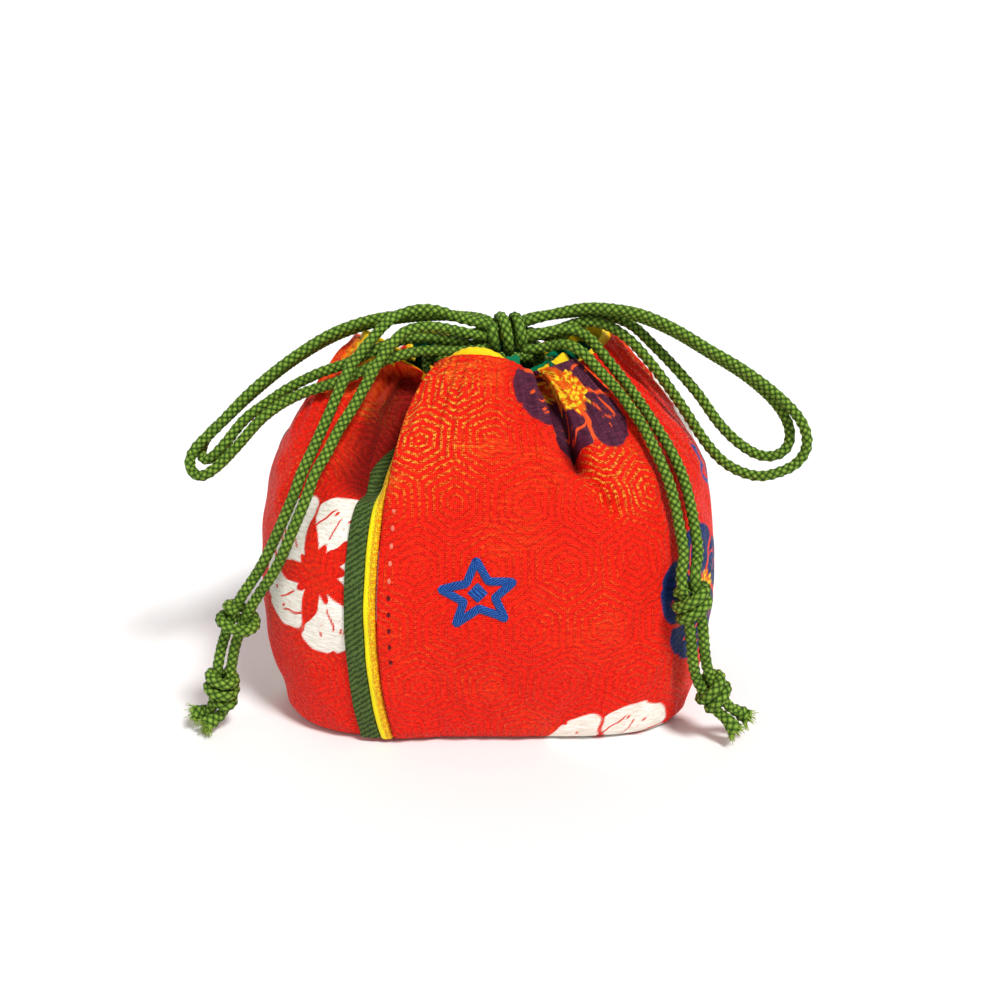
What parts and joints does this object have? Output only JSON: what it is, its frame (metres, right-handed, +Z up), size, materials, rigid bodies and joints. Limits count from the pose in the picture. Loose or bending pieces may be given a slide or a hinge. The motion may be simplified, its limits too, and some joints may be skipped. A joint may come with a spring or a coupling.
{
  "type": "kinchaku drawstring pouch",
  "caption": "Small square-based cloth pouch, gathered at the mouth into rounded lobes and drawn shut by braided cords tied over it in a bow with knotted tails.",
  "frame": {"origin": "middle of the pouch's base on the surface that it stands on", "axes": "+Z up, -Y towards the front (the side with the lapped seam at its left), +X to the pouch's right as seen from the front"},
  "size_m": [0.1358, 0.0864, 0.0897],
  "materials": {
    "brocade": "woven satin brocade, tone on tone",
    "base_cloth": "woven brocade over a stiff board",
    "lining_satin": "smooth satin",
    "yellow_cloth": "smooth plain weave",
    "green_cloth": "twill",
    "braided_cord": "round braid with a slight sheen"
  },
  "bodies": {
    "root": {"brocade_body": "brocade", "base_panel": "base_cloth", "lining": "lining_satin", "mouth_facing": "yellow_cloth", "yellow_band": "yellow_cloth", "green_band": "green_cloth", "bow_knot": "braided_cord", "left_upper_knot": "braided_cord", "left_lower_knot": "braided_cord", "right_upper_knot": "braided_cord", "right_lower_knot": "braided_cord", "left_drawcord_run": "braided_cord", "right_drawcord_run": "braided_cord", "left_loop_outer": "braided_cord", "left_loop_inner": "braided_cord", "right_loop_outer": "braided_cord", "right_loop_inner": "braided_cord", "left_tail_a": "braided_cord", "left_tail_b": "braided_cord", "right_tail_a": "braided_cord", "right_tail_b": "braided_cord", "left_short_strand_a": "braided_cord", "left_short_strand_b": "braided_cord", "right_short_strand_a": "braided_cord", "right_short_strand_b": "braided_cord", "left_frayed_end_a": "braided_cord", "left_frayed_end_b": "braided_cord", "right_frayed_end_a": "braided_cord", "right_frayed_end_b": "braided_cord"}
  },
  "joints": []
}
